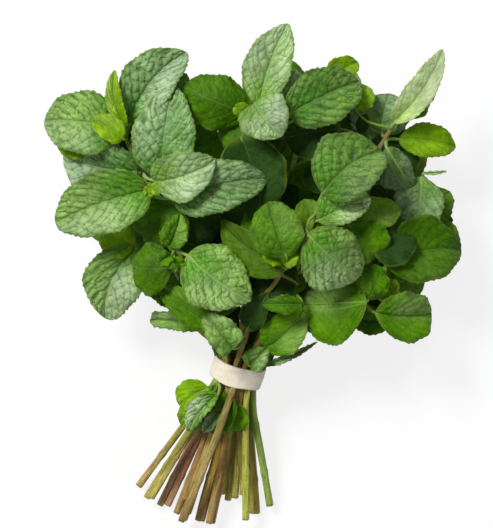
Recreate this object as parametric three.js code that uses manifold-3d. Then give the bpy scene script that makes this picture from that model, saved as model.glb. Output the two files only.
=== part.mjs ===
// A tied bunch of fresh mint, lying on a flat surface.
//
// Thirteen cut stems pass through one wide elastic band and fan out on both sides of it. Each leaf is a thin
// curved blade on a stalk of its own, which starts just clear of its stem. The lower leaves rest on the
// surface, and the upper leaves are laid on the stems and on each other, from the back of the bunch to the
// front. +Y runs along the stems towards the leaves, +Z is up, and Z = 0 is the surface.
// All lengths are millimetres and all angles are degrees.

import * as THREE from "three";
import { mergeVertices } from "three/addons/utils/BufferGeometryUtils.js";
import Module from "manifold-3d";

// Driving dimensions
const NECK = new THREE.Vector3(-5.6, -49, 26); // the middle of the band
const BAND = { halfWide: 11.4, halfDeep: 8.4, width: 9, thickness: 0.9, lean: -17, rise: 17, steps: 40 };
const STEM = { cutRadius: 1.8, tipRadius: 1.1, flatness: 0.87, rings: 12 };
const LAYER_RISE = 4.2; // between the three layers of stems inside the band
const DRIFT = 0.9; // how far a stem may slant across the band on each side of its middle
const LEAF = { thickness: 0.6, stalkRadius: 0.8, leastStalk: 3, footGap: 0.45 };
const SIDES = 8; // points round a stem, a stalk or a blade

// Laying the leaves
const CLEARANCE = 0.4; // between a leaf and what it is laid on
const LIFT_STEP = 0.7;
const CELL = 1; // of the square grid that holds the height of the pile
const MAX_LIFTS = 80;

const LOOKS = {
  stem: { color: 0x8a8a3c, roughness: 0.55, metalness: 0 },
  mature: { color: 0x3f7a26, roughness: 0.5, metalness: 0 },
  young: { color: 0x7fb02c, roughness: 0.5, metalness: 0 },
  band: { color: 0xeadfcd, roughness: 0.85, metalness: 0 },
};

// Each stem, from stem_01: its layer in the band, its place across the band, its cut end, and its way
// through the leaves.
const STEMS = [
  { layer: 0, across: -7.2, cut: [-51.3, -102.5, 5.5], way: [[-28, -24, 34], [-43, -4, 38], [-53, 12, 40]] },
  { layer: 0, across: -3.6, cut: [-33.8, -115, 5.5], way: [[-22, -16, 38], [-42, 26, 52], [-56, 58, 60]] },
  { layer: -1, across: -5.1, cut: [-41.6, -111.5, 1.7], way: [[-27, -16, 21], [-46, 22, 20], [-54, 38, 22]] },
  { layer: 1, across: -5.5, cut: [-45.5, -107.6, 10], way: [[-20, -22, 46], [-29, -6, 56], [-34, 6, 60]] },
  { layer: 1, across: -1.8, cut: [-31.6, -118.4, 10], way: [[3, -20, 48], [12, -7, 60], [17, 2, 68]] },
  { layer: -1, across: -1.5, cut: [-28, -113, 1.7], way: [[-8, 2, 20], [-15, 42, 21], [-18, 62, 24]] },
  { layer: 0, across: 0, cut: [-22.3, -118.4, 5.5], way: [[-1, 2, 46], [2, 42, 58], [3, 69, 62]] },
  { layer: 0, across: 3.7, cut: [-6.9, -107.8, 5.5], way: [[22, 6, 44], [52, 43, 50], [64, 62, 52]] },
  { layer: 1, across: 1.8, cut: [-18.8, -119.2, 10], way: [[16, -14, 48], [27, 16, 62], [33, 33, 68]] },
  { layer: 1, across: 5.5, cut: [-1.9, -117.5, 12], way: [[26, -22, 44], [53, -15, 50], [62, 2, 52]] },
  { layer: -1, across: 5.2, cut: [1.4, -115.2, 1.7], way: [[24, -12, 20], [48, 14, 20], [60, 26, 22]] },
  { layer: 0, across: 7.4, cut: [9.2, -111.5, 5.5], way: [[34, -8, 34], [66, 20, 38], [79, 38, 40]] },
  { layer: -1, across: 2, cut: [-10.2, -109.1, 1.7], way: [[8, 5, 20], [20, 46, 21], [24, 64, 24]] },
];

// Each leaf: the number of its stem, where its blade starts and ends, its width, and its form. The arch bows
// the midrib up or down by a share of the length, the fold lifts the two halves of the blade, and the roll
// turns the upper side away from straight up.
// The lower leaves, from lower_leaf_01, hang from the lowest layer of stems to the surface.
const LOWER_LEAVES = [
  { stem: 3, from: [-38, 14, 12], to: [-70, 34, 4], width: 24, arch: -0.1, fold: 14 },
  { stem: 6, from: [-12, 24, 12], to: [-38, 58, 3], width: 26, arch: -0.08, fold: 12 },
  { stem: 13, from: [14, 34, 12], to: [4, 80, 4], width: 26, arch: -0.1, fold: 12 },
  { stem: 11, from: [30, 4, 12], to: [44, 44, 3], width: 26, arch: -0.08, fold: 14 },
  { stem: 11, from: [42, -2, 12], to: [76, 8, 5], width: 24, arch: -0.1, fold: 12 },
  { stem: 3, from: [-26, -14, 12], to: [-52, -6, 4], width: 22, arch: -0.1, fold: 12 },
  { stem: 6, from: [2, -10, 10], to: [8, 28, 3], width: 24, arch: -0.08, fold: 12 },
];

// The upper leaves, from leaf_01, in the order in which they are laid.
const UPPER_LEAVES = [
  // low round the edge of the bunch
  { stem: 8, from: [54, 56, 44], to: [52, 76, 48], width: 17, arch: 0.06, fold: -8, roll: 20 },
  { stem: 12, from: [78, 18, 32], to: [92, 34, 30], width: 17, arch: 0.1, fold: 10 },
  { stem: 12, from: [77, 39, 38], to: [74, 13, 40], width: 23, arch: 0.12, fold: 10, roll: 10 },
  { stem: 12, from: [60, 2, 34], to: [94, 6, 30], width: 30, arch: 0.08, fold: 8 },
  { stem: 8, from: [67, 56, 46], to: [91, 53, 42], width: 18, arch: 0.08, fold: 8 },
  { stem: 8, from: [64, 63, 50], to: [86, 96, 58], width: 21, arch: 0.06, fold: 18, roll: 42 },
  { stem: 8, from: [61, 52, 50], to: [73, 33, 46], width: 20, arch: 0.1, fold: -10 },
  { stem: 12, from: [53, 0, 42], to: [58, -17, 40], width: 15, arch: 0.12, fold: 10 },
  { stem: 10, from: [56, -22, 46], to: [84, -22, 36], width: 21, arch: 0.1, fold: 20 },
  { stem: 10, from: [52, -17, 50], to: [19, -18, 42], width: 27, arch: 0.16, fold: -14 },
  { stem: 1, from: [-51, 8, 40], to: [-66, -26, 30], width: 26, arch: 0.08, fold: 10 },
  { stem: 1, from: [-19, -29, 32], to: [-45, -26, 24], width: 10, arch: 0.12, fold: 22 },
  { stem: 4, from: [-14, -29, 42], to: [-39, -11, 36], width: 20, arch: 0.1, fold: 10 },
  { stem: 5, from: [-8, -38, 38], to: [-21, -22, 36], width: 16, arch: 0.14, fold: 24 },
  { stem: 10, from: [7, -38, 36], to: [24, -21, 38], width: 17, arch: 0.1, fold: 12 },
  // the shoots on the left and in the middle
  { stem: 2, from: [-50, 41, 52], to: [-85, 50, 46], width: 24, arch: 0.1, fold: 12, roll: -15 },
  { stem: 2, from: [-57, 60, 60], to: [-93, 64, 52], width: 27, arch: 0.12, fold: 8 },
  { stem: 2, from: [-54, 62, 60], to: [-28, 95, 56], width: 25, arch: 0.08, fold: 22, roll: 20 },
  { stem: 2, from: [-55, 61, 64], to: [-60, 86, 68], width: 12, arch: 0.05, fold: 34, look: "young" },
  { stem: 7, from: [-1, 67, 60], to: [-32, 80, 58], width: 24, arch: 0.16, fold: -10 },
  { stem: 7, from: [4, 70, 62], to: [17, 107, 66], width: 23, arch: 0.05, fold: 14 },
  { stem: 7, from: [17, 66, 56], to: [50, 82, 58], width: 26, arch: 0.12, fold: 8 },
  { stem: 7, from: [2, 71, 68], to: [14, 56, 78], width: 24, arch: 0.12, fold: 12 },
  { stem: 2, from: [-39, 38, 60], to: [-33, 84, 64], width: 29, arch: 0.08, fold: 10 },
  { stem: 5, from: [16, -2, 62], to: [-14, 19, 54], width: 20, arch: 0.06, fold: 14, roll: -30 },
  { stem: 2, from: [-34, 29, 60], to: [8, 38, 64], width: 25, arch: 0.1, fold: 14 },
  { stem: 2, from: [-45, 33, 62], to: [-88, 18, 54], width: 29, arch: 0.1, fold: 14 },
  { stem: 2, from: [-43, 37, 66], to: [-15, 46, 74], width: 23, arch: 0.14, fold: 12, roll: 15 },
  { stem: 4, from: [-35, -2, 60], to: [-55, -1, 52], width: 24, arch: 0.14, fold: -6 },
  { stem: 4, from: [-36, 8, 64], to: [-31, 22, 68], width: 14, arch: 0.05, fold: 30, look: "young" },
  { stem: 4, from: [-28, 4, 66], to: [1, -17, 64], width: 28, arch: 0.1, fold: -6 },
  // the shoots on the right
  { stem: 9, from: [46, 23, 60], to: [68, 24, 56], width: 15, arch: 0.1, fold: 10 },
  { stem: 9, from: [30, 19, 64], to: [54, 31, 62], width: 19, arch: 0.1, fold: 16, roll: -20 },
  { stem: 9, from: [32, 31, 72], to: [58, 50, 70], width: 31, arch: 0.1, fold: 22, roll: -18 },
  { stem: 9, from: [25, 13, 64], to: [51, -6, 60], width: 30, arch: 0.14, fold: -8 },
  { stem: 5, from: [16, 3, 72], to: [8, 29, 76], width: 24, arch: 0.12, fold: 8 },
  // below the band
  { stem: 5, from: [-9.5, -59, 32], to: [-17, -79, 26], width: 15, arch: 0.1, fold: 14 },
  { stem: 4, from: [-19, -56, 31], to: [-33, -65, 28], width: 16, arch: 0.12, fold: 14, look: "young" },
  { stem: 4, from: [-14.5, -59, 34], to: [-28, -76, 30], width: 15, arch: 0.12, fold: 34, look: "young" },
];

// Where a blade has its rings, from its foot at 0 to its tip at 1, and where a stalk has them.
const BLADE_STATIONS = [0.02, 0.1, 0.24, 0.4, 0.57, 0.75, 0.92];
const STALK_STATIONS = [0, 0.35, 0.7];
// Round a blade: the right edge, the upper side, the left edge and the under side.
const ACROSS = [1, 0.5, 0, -0.5, -1, -0.4, 0, 0.4];
const FACING = [0, 1, 1, 1, 0, -1, -1, -1];
// How much of a fold lies in a crease along the midrib. The rest curves up towards the edges.
const CREASE = 0.4;
// How far behind the nearest point of its stem a stalk may start, in the order of preference.
const BEHIND = [3, 1, 5, 8, 11, -2, -5];

const radians = THREE.MathUtils.degToRad;
const vector = (xyz) => new THREE.Vector3(...xyz);

// The half-width of a blade as a share of its widest: broadest a little below the middle, with a blunt foot.
const outline = (along) => Math.sin(Math.PI * along ** 0.75) ** 0.75;

// One closed body through rings of points, from a start point to an end point.
function loft(start, rings, end) {
  const points = [start, ...rings.flat(), end];
  const last = points.length - 1;
  const index = [];
  for (let side = 0; side < SIDES; side++) {
    const next = (side + 1) % SIDES;
    index.push(0, 1 + side, 1 + next);
    for (let ring = 0; ring < rings.length - 1; ring++) {
      const [here, beyond] = [1 + ring * SIDES, 1 + (ring + 1) * SIDES];
      index.push(here + side, beyond + side, here + next);
      index.push(here + next, beyond + side, beyond + next);
    }
    index.push(last, last - SIDES + next, last - SIDES + side);
  }
  const geometry = new THREE.BufferGeometry().setFromPoints(points);
  geometry.setIndex(index);
  return geometry;
}

// A ring round a centre. A flatness below 1 flattens the four sides of a square stem.
function roundRing(centre, right, up, radius, flatness = 1) {
  return Array.from({ length: SIDES }, (_, side) => {
    const angle = (side / SIDES) * 2 * Math.PI;
    const reach = radius * (side % 2 ? 1 : flatness);
    return centre.clone()
      .addScaledVector(right, reach * Math.cos(angle))
      .addScaledVector(up, reach * Math.sin(angle));
  });
}

// The directions across the band, along the stems through it, and through its depth.
function bandFrame() {
  const [lean, rise] = [radians(BAND.lean), radians(BAND.rise)];
  const across = new THREE.Vector3(Math.cos(lean), Math.sin(lean), 0);
  const along = new THREE.Vector3(-Math.sin(lean), Math.cos(lean), 0)
    .multiplyScalar(Math.cos(rise))
    .setZ(Math.sin(rise));
  return { across, along, up: across.clone().cross(along) };
}

// A flat elastic band: an oval ring with a rectangular section.
function bandGeometry() {
  const { across, along, up } = bandFrame();
  const corners = [[-1, 0], [1, 0], [1, 1], [-1, 1]];
  const points = [];
  const index = [];
  for (let step = 0; step < BAND.steps; step++) {
    const angle = (step / BAND.steps) * 2 * Math.PI;
    const ring = step * corners.length;
    const beyond = ((step + 1) % BAND.steps) * corners.length;
    corners.forEach(([side, outer], corner) => {
      const next = (corner + 1) % corners.length;
      const grown = outer * BAND.thickness;
      points.push(NECK.clone()
        .addScaledVector(across, (BAND.halfWide + grown) * Math.cos(angle))
        .addScaledVector(up, (BAND.halfDeep + grown) * Math.sin(angle))
        .addScaledVector(along, (side * BAND.width) / 2));
      index.push(ring + corner, beyond + corner, ring + next);
      index.push(ring + next, beyond + corner, beyond + next);
    });
  }
  const geometry = new THREE.BufferGeometry().setFromPoints(points);
  geometry.setIndex(index);
  return geometry;
}

// The centre line of a stem, from its cut end through the band to its shoot.
function stemCurve({ layer, across, cut, way }) {
  const frame = bandFrame();
  const half = BAND.width / 2;
  const slot = NECK.clone()
    .addScaledVector(frame.across, across)
    .addScaledVector(frame.up, layer * LAYER_RISE);
  const through = (side, target) => {
    const onward = vector(target).sub(slot);
    const slant = (half * onward.dot(frame.across)) / Math.abs(onward.dot(frame.along));
    return slot.clone()
      .addScaledVector(frame.along, side * half)
      .addScaledVector(frame.across, THREE.MathUtils.clamp(slant, -DRIFT, DRIFT));
  };
  const points = [vector(cut), through(-1, cut), through(1, way[0]), ...way.map(vector)];
  return new THREE.CatmullRomCurve3(points, false, "centripetal");
}

function stemGeometry(curve) {
  const count = STEM.rings - 1;
  const { normals, binormals } = curve.computeFrenetFrames(count, false);
  const rings = normals.map((normal, ring) => {
    const radius = THREE.MathUtils.lerp(STEM.cutRadius, STEM.tipRadius, ring / count);
    return roundRing(curve.getPointAt(ring / count), binormals[ring], normal, radius, STEM.flatness);
  });
  return loft(curve.getPointAt(0), rings, curve.getPointAt(1));
}

// The blade of a leaf, with its foot and its tip lifted by some height each.
function bladeOf({ from, to, width, arch, fold, roll = 0 }, lift) {
  const foot = vector(from).setZ(from[2] + lift.foot);
  const tip = vector(to).setZ(to[2] + lift.tip);
  const chord = tip.clone().sub(foot);
  const ahead = chord.clone().normalize();
  const level = new THREE.Vector3(0, 0, 1).projectOnPlane(ahead).normalize();
  const up = level.applyAxisAngle(ahead, radians(roll));
  const right = ahead.clone().cross(up);
  const bow = 4 * arch * chord.length();
  const midrib = (s) => foot.clone().addScaledVector(chord, s).addScaledVector(up, bow * s * (1 - s));
  const slope = (s) => chord.clone().addScaledVector(up, bow * (1 - 2 * s)).normalize();
  const rings = BLADE_STATIONS.map((s) => {
    const normal = right.clone().cross(slope(s)).normalize();
    const half = Math.max((width / 2) * outline(s), LEAF.stalkRadius);
    const [open, raised] = [half * Math.cos(radians(fold)), half * Math.sin(radians(fold))];
    return ACROSS.map((across, k) => midrib(s)
      .addScaledVector(right, open * across)
      .addScaledVector(normal, raised * (CREASE * Math.abs(across) + (1 - CREASE) * across ** 2))
      .addScaledVector(normal, (FACING[k] * LEAF.thickness) / 2));
  });
  return { rings, right, tip, start: midrib(BLADE_STATIONS[0]), heading: slope(0) };
}

// The point of a stem's centre line nearest to a blade, and then some millimetres back from its heading.
function footOnStem(curve, blade, behind) {
  const points = curve.getSpacedPoints(Math.round(curve.getLength()));
  const distances = points.map((point) => point.distanceTo(blade.start));
  const nearest = distances.indexOf(Math.min(...distances));
  const along = curve.getTangentAt(nearest / (points.length - 1)).dot(blade.heading);
  return points[THREE.MathUtils.clamp(nearest - behind * Math.sign(along), 0, points.length - 1)];
}

// A whole leaf: its stalk starts just clear of the stem and bends into the blade. It is null where the blade
// starts too near the stem for a stalk.
function leafGeometry(leaf, curve, lift, behind) {
  const blade = bladeOf(leaf, lift);
  const out = blade.start.clone().sub(footOnStem(curve, blade, behind));
  const reach = out.length();
  const clear = STEM.cutRadius + LEAF.footGap;
  if (reach < clear + LEAF.leastStalk) return null;
  const start = blade.start.clone().addScaledVector(out, clear / reach - 1);
  const bend = blade.start.clone().addScaledVector(blade.heading, -0.4 * reach).lerp(start, 0.4);
  const path = new THREE.QuadraticBezierCurve3(start, bend, blade.start);
  const stalk = STALK_STATIONS.map((t) => {
    const tangent = path.getTangent(t);
    const side = blade.right.clone().projectOnPlane(tangent).normalize();
    return roundRing(path.getPoint(t), side, side.clone().cross(tangent), LEAF.stalkRadius);
  });
  return loft(start, [...stalk, ...blade.rings], blade.tip);
}

// Points over every face of a geometry, no further apart than a cell.
function* facePoints({ index, attributes }) {
  const corner = (i) => new THREE.Vector3().fromBufferAttribute(attributes.position, index.getX(i));
  for (let face = 0; face < index.count; face += 3) {
    const [a, b, c] = [corner(face), corner(face + 1), corner(face + 2)];
    const longest = Math.max(a.distanceTo(b), b.distanceTo(c), c.distanceTo(a));
    const steps = Math.ceil(longest / CELL) + 1;
    for (let i = 1; i <= steps; i++) {
      const [left, right] = [a.clone().lerp(b, i / steps), a.clone().lerp(c, i / steps)];
      for (let j = 0; j <= i; j++) yield left.clone().lerp(right, j / i);
    }
  }
}

// What is in place so far: the solids, and the height of the pile in each cell of the grid.
const pile = [];
const relief = new Map();
const cellOf = ({ x, y }) => `${Math.round(x / CELL)} ${Math.round(y / CELL)}`;

const wasm = await Module();
wasm.setup();

function solidOf(geometry) {
  const merged = mergeVertices(geometry, 1e-3);
  return new wasm.Manifold(new wasm.Mesh({
    numProp: 3,
    vertProperties: merged.attributes.position.array,
    triVerts: new Uint32Array(merged.index.array),
  }));
}

function addToPile(geometry) {
  geometry.computeBoundingBox();
  pile.push({ solid: solidOf(geometry), box: geometry.boundingBox });
  for (const point of facePoints(geometry)) {
    relief.set(cellOf(point), Math.max(point.z, relief.get(cellOf(point)) ?? 0));
  }
}

function overlapsPile(geometry) {
  geometry.computeBoundingBox();
  const near = pile.filter(({ box }) => box.intersectsBox(geometry.boundingBox));
  const solid = solidOf(geometry);
  return near.some((piece) => !solid.intersect(piece.solid).isEmpty());
}

// How deep a blade would sink into the pile, on the half towards its foot and on the half towards its tip.
function sinking(leaf, lift) {
  const { rings, start, tip } = bladeOf(leaf, lift);
  const chord = tip.clone().sub(start);
  const depth = { foot: 0, tip: 0 };
  for (const point of facePoints(loft(start, rings, tip))) {
    const along = point.clone().sub(start).dot(chord) / chord.lengthSq();
    const half = along < 0.5 ? "foot" : "tip";
    depth[half] = Math.max(depth[half], (relief.get(cellOf(point)) ?? 0) + CLEARANCE - point.z);
  }
  return depth;
}

// Lays a leaf on the pile: its foot and its tip are each lifted until the blade is above what lies there,
// and then the stalk takes the first free way to the stem.
function layOnPile(leaf, curve) {
  const lift = { foot: 0, tip: 0 };
  for (let lifts = 0; lifts < MAX_LIFTS; lifts++) {
    const depth = sinking(leaf, lift);
    if (depth.foot === 0 && depth.tip === 0) {
      const ways = BEHIND.map((behind) => leafGeometry(leaf, curve, lift, behind));
      const free = ways.find((geometry) => geometry && !overlapsPile(geometry));
      if (free) return free;
      depth.foot = LIFT_STEP;
    }
    if (depth.foot > 0) lift.foot += LIFT_STEP;
    if (depth.tip > 0) lift.tip += LIFT_STEP;
  }
  throw new Error("a leaf has no free place");
}

// Brings the lowest point of a leaf down to the surface.
function layOnSurface(leaf, curve) {
  const { start, rings, tip } = bladeOf(leaf, { foot: 0, tip: 0 });
  const blade = loft(start, rings, tip);
  blade.computeBoundingBox();
  const drop = -blade.boundingBox.min.z;
  return leafGeometry(leaf, curve, { foot: drop, tip: drop }, BEHIND[0]);
}

const bunch = new THREE.Group();

function addPiece(name, geometry, look) {
  addToPile(geometry);
  const faceted = geometry.toNonIndexed();
  faceted.computeVertexNormals();
  const mesh = new THREE.Mesh(faceted, new THREE.MeshStandardMaterial(LOOKS[look]));
  mesh.name = name;
  bunch.add(mesh);
}

const numbered = (kind, i) => `${kind}_${String(i + 1).padStart(2, "0")}`;
const curves = STEMS.map(stemCurve);

curves.forEach((curve, i) => addPiece(numbered("stem", i), stemGeometry(curve), "stem"));
addPiece("band", bandGeometry(), "band");
LOWER_LEAVES.forEach((leaf, i) => {
  addPiece(numbered("lower_leaf", i), layOnSurface(leaf, curves[leaf.stem - 1]), "mature");
});
UPPER_LEAVES.forEach((leaf, i) => {
  addPiece(numbered("leaf", i), layOnPile(leaf, curves[leaf.stem - 1]), leaf.look ?? "mature");
});

// The origin is the middle of the bunch, on the surface that it lies on.
const box = new THREE.Box3().setFromObject(bunch);
const middle = box.getCenter(new THREE.Vector3());
bunch.position.set(-middle.x, -middle.y, -box.min.z);

export default bunch;
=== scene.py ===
"""A tied bunch of fresh mint that lies on a pale floor, seen from straight above.

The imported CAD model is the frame. Every stem, leaf and the band is read from its CAD node as a few
measures, such as a blade's midrib, width and fold, and rebuilt as a detailed piece in the same place.
Small leaves, shoot tips and the leaves deep inside the bunch are added along the stems.
Lengths inside this script are millimetres, and the meshes are written in metres.
"""

import math

import bpy
import numpy as np
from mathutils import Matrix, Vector
from mathutils.bvhtree import BVHTree


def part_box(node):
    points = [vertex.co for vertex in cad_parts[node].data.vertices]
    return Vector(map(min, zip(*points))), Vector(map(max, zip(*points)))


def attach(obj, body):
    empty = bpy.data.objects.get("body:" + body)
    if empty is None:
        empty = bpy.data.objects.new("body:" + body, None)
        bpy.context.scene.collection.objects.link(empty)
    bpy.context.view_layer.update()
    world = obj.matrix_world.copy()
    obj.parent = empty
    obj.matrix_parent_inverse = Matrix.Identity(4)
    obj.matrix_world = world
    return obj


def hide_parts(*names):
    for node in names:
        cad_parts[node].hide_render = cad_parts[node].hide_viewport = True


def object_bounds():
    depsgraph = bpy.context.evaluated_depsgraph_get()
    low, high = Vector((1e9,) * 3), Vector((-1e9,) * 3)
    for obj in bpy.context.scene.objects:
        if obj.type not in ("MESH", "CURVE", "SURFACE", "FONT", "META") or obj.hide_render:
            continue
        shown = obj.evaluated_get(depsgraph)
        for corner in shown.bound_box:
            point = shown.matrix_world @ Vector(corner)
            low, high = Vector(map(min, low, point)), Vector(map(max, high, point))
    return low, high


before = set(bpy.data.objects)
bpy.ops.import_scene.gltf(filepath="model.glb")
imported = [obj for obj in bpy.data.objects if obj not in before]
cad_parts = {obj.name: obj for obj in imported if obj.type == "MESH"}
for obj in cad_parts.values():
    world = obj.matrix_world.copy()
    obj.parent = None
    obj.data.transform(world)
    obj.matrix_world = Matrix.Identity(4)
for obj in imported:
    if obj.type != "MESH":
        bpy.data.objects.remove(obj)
CAD_BOX = [list(corner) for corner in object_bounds()]
LOW, HIGH = (np.array(corner) * 1000 for corner in CAD_BOX)
MIDDLE = (LOW + HIGH) / 2

MM = 0.001
UP = np.array([0.0, 0.0, 1.0])
BAND_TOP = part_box("band")[1][1] / MM

# The camera and the room
CAMERA_HEIGHT = 1500.0
CAMERA_LENS = 220.5
CAMERA_AIM = (-2.1, 6.4)  # from the middle of the bunch
CAMERA_SIGHT = 20  # metres
WORLD_LEVEL = 0.34
KEY_POWER = 110.0
KEY_PLACE = (-1.5, 1.5, 2.9)  # metres
KEY_SIZE = 1.0  # metres
FLOOR_REACH = 3.0  # metres from its middle to each side
FLOOR_BEND = 0.002  # metres: leaves lower than this bend to lie along the floor
FLOOR_WHITENESS = 0.82  # how far the camera sees the floor as white whatever falls on it

# How the CAD leaves are made
RING_POINTS = 8
STALK_RINGS = 3
STALK_RADIUS = 1.2  # the rings of a stalk are smaller than this, and those of a blade are larger
BLADE_STATIONS = (0.02, 0.1, 0.24, 0.4, 0.57, 0.75, 0.92)
WIDEST_STATION = 3

# Leaf anatomy
THICKNESS = 0.28
QUILT_HEIGHT = 1.0
UNDER_QUILT = 0.8  # the quilting of the under side as a share of the upper side's
LEAST_HALF = (0.7, 0.12)  # the least half-width of a blade at its foot and at its tip
TIP_CURL = 2.0
MIDRIB_GROOVE = 0.8
VEIN_SWEEP = 0.4  # how far towards the tip a side vein runs by the time it reaches the edge
VEIN_CURVE = 1.35
VEIN_PITCH = 5.4  # between side veins
CELL_PITCH = 3.1  # of the net of small veins between them
TOOTH_PITCH = 2.7
TOOTH_HEIGHT = 1.3
STALK_SINK = 1.6  # how far a stalk reaches into its stem
STALK_START = 1.3  # from the middle of a stem, for a leaf that the frame does not hold

# Stems and the band
LINE_POINTS = 110  # along the centre line of a stem
NODE_PITCH = 24.0  # between the joints of a stem
NODE_SWELLING = 0.16  # of the radius
NODE_LENGTH = 1.5
CUT_RINGS = [(0.2, 0.25, 1), (0.55, 0.18, 0.9), (0.88, -0.02, 0.6)]  # radius as a share, depth and paleness
UNDER_BAND = 4.2  # from the outside of the band to the middle of a stem beneath it
BAND_THICKNESS = 0.9
BAND_INSET = 0.15  # how far the band lies within the CAD band

# Leaves deep inside the bunch
INNER_PITCH = 14.0  # between their pairs on a stem
# The darkest of these looks is painted shade for leaves deep in the bunch.
INNER_LOOKS = ("deep", "shaded_dark", "smooth", "deep", "quilted", "olive")
LEAFLESS = 16.0  # the length of stem above the band without leaves
BARE_NECK = 8.0  # the length above the band where nothing fills the gaps
MOST_GAP_LEAVES = 75
CROWDED_FROM = 45  # the later gap leaves may cross leaves that are just as deep
GAP_TRIES = 400
WAYS_TO_GROW = 8  # that are tried for each leaf of a pair
WAYS_TO_FILL = 30  # that are tried for each gap
STEMS_NEARBY = 5

# Detail of the meshes: rows along a blade and columns across it
FINE = (76, 40)
MEDIUM = (54, 26)
SMALL = (36, 20)
COARSE = (28, 12)

# Random seeds: a piece's number is added to the first four
SHORT_STEM_SEED = 20
STEM_SEED = 40  # of the leaf pairs that grow on a stem
SIDE_SEED = 60
INNER_SEED = 100
GAP_SEED = 7

# What differs from leaf to leaf, and between which values
LEAF_RANGES = {
    "shoulder": (0.74, 0.86), "blunt": (0.58, 0.72), "uneven": (-0.06, 0.06), "ripples": (2.2, 3.4),
    "phase": (0, 6.28), "twist": (-0.2, 0.2), "shift": (0.3, 0.6), "sway": (0.02, 0.06),
}

# Colours that all leaves, all stems or the band have
# Yellow-green of the young foot of a blade, and a painted highlight along the edge of a blade
YOUNG_FOOT_AND_LIT_EDGE = "#a4c444"
MIDRIB_PALE = "#b8d080"
UNDER_VEIN = "#a9c487"
STALK_GREEN = "#8fae52"
CUT_PITH = "#e4e0b4"
PITH_HEART = "#ece8c4"
BAND_CREAM = "#f8ecd8"


# ---------------------------------------------------------------- small tools

def unit(v):
    return v / np.linalg.norm(v, axis=-1, keepdims=True)


def srgb(code):
    """A colour written as #rrggbb, as linear red, green and blue."""
    parts = np.array([int(code[i:i + 2], 16) for i in (1, 3, 5)]) / 255
    return np.where(parts < 0.04045, parts / 12.92, ((parts + 0.055) / 1.055) ** 2.4)


def step(low, high, x):
    """Rises smoothly from 0 at low to 1 at high."""
    t = np.clip((x - low) / (high - low), 0, 1)
    return t * t * (3 - 2 * t)


def blend(a, b, amount):
    return a + (b - a) * amount


def join(parts):
    """Several meshes as one. A mesh is its points, its faces and its named values for each point."""
    points, faces, start = [], [], 0
    for part in parts:
        points.append(part["points"])
        faces += [tuple(i + start for i in face) for face in part["faces"]]
        start += len(part["points"])
    data = {key: np.concatenate([part["data"][key] for part in parts]) for key in parts[0]["data"]}
    return {"points": np.concatenate(points), "faces": faces, "data": data}


def above_floor(height):
    """Heights in metres, where what would sink into the floor is bent to lie along it."""
    bent = FLOOR_BEND * np.exp(np.minimum(height / FLOOR_BEND - 1, 0))
    return np.where(height < FLOOR_BEND, bent, height)


def put_in_scene(name, data):
    thing = bpy.data.objects.new(name, data)
    bpy.context.scene.collection.objects.link(thing)
    return thing


def make_piece(name, part, material, nodes=()):
    """Adds a Blender object from a mesh. It stands for the CAD nodes."""
    mesh = bpy.data.meshes.new(name)
    points = part["points"] * MM
    points[:, 2] = above_floor(points[:, 2])
    mesh.from_pydata(points.tolist(), [], part["faces"])
    for key, values in part["data"].items():
        kind = "FLOAT_COLOR" if values.shape[1] == 4 else "FLOAT_VECTOR"
        field = "color" if values.shape[1] == 4 else "vector"
        layer = mesh.attributes.new(key, kind, "POINT")
        layer.data.foreach_set(field, values.astype(np.float32).ravel())
    mesh.polygons.foreach_set("use_smooth", [True] * len(mesh.polygons))
    mesh.materials.append(material)
    piece = put_in_scene(name, mesh)
    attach(piece, "root")
    if nodes:
        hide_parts(*nodes)


# ---------------------------------------------------------------- reading the CAD nodes

def welded(node):
    """The points of a CAD node in millimetres, each once, and the neighbours of each."""
    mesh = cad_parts[node].data
    raw = np.array([v.co for v in mesh.vertices]) / MM
    _, first, back = np.unique(np.round(raw * 100), axis=0, return_index=True, return_inverse=True)
    back = back.reshape(-1)
    near = [set() for _ in first]
    for polygon in mesh.polygons:
        corners = [int(back[i]) for i in polygon.vertices]
        for a in corners:
            near[a].update(b for b in corners if b != a)
    return raw[first], near


def walk(ring, near):
    """The points of one ring in order round it."""
    path = [ring[0]]
    while len(path) < len(ring):
        path.append(min(i for i in ring if i in near[path[-1]] and i not in path))
    return path


def rings_between_poles(node):
    """The end points of a lofted CAD node, and its rings of points from one end to the other."""
    points, near = welded(node)
    first, last = [i for i, around in enumerate(near) if len(around) == RING_POINTS]
    seen, rings = {first}, []
    level = sorted(near[first])
    while len(level) == RING_POINTS:
        seen.update(level)
        rings.append(points[walk(level, near)])
        level = sorted(set().union(*(near[i] for i in level)) - seen)
    return points[first], rings, points[last]


def ring_radius(ring):
    return np.linalg.norm(ring - ring.mean(0), axis=1).max()


def blade_section(ring):
    """The middle of a ring of a blade, the vector to one edge, the rise of both edges and its normal."""
    spans = [np.linalg.norm(ring[i] - ring[i + 4]) for i in range(4)]
    edge_a, *side_a, edge_b, p, q, r = np.roll(ring, -int(np.argmax(spans)), axis=0)
    side_b = [p, q, r]
    if np.linalg.norm(side_a[0] - side_a[2]) < np.linalg.norm(p - r):
        side_a, side_b = side_b, side_a
    middle = (side_a[1] + side_b[1]) / 2
    normal = unit(side_a[1] - side_b[1])
    rise = ((edge_a + edge_b) / 2 - middle) @ normal
    return middle, (edge_a - edge_b) / 2, rise, normal


def outline(s, shoulder=0.75, blunt=0.75):
    """The half-width of a blade as a share of its widest."""
    return np.sin(math.pi * np.clip(s, 0, 1) ** shoulder) ** blunt


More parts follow.
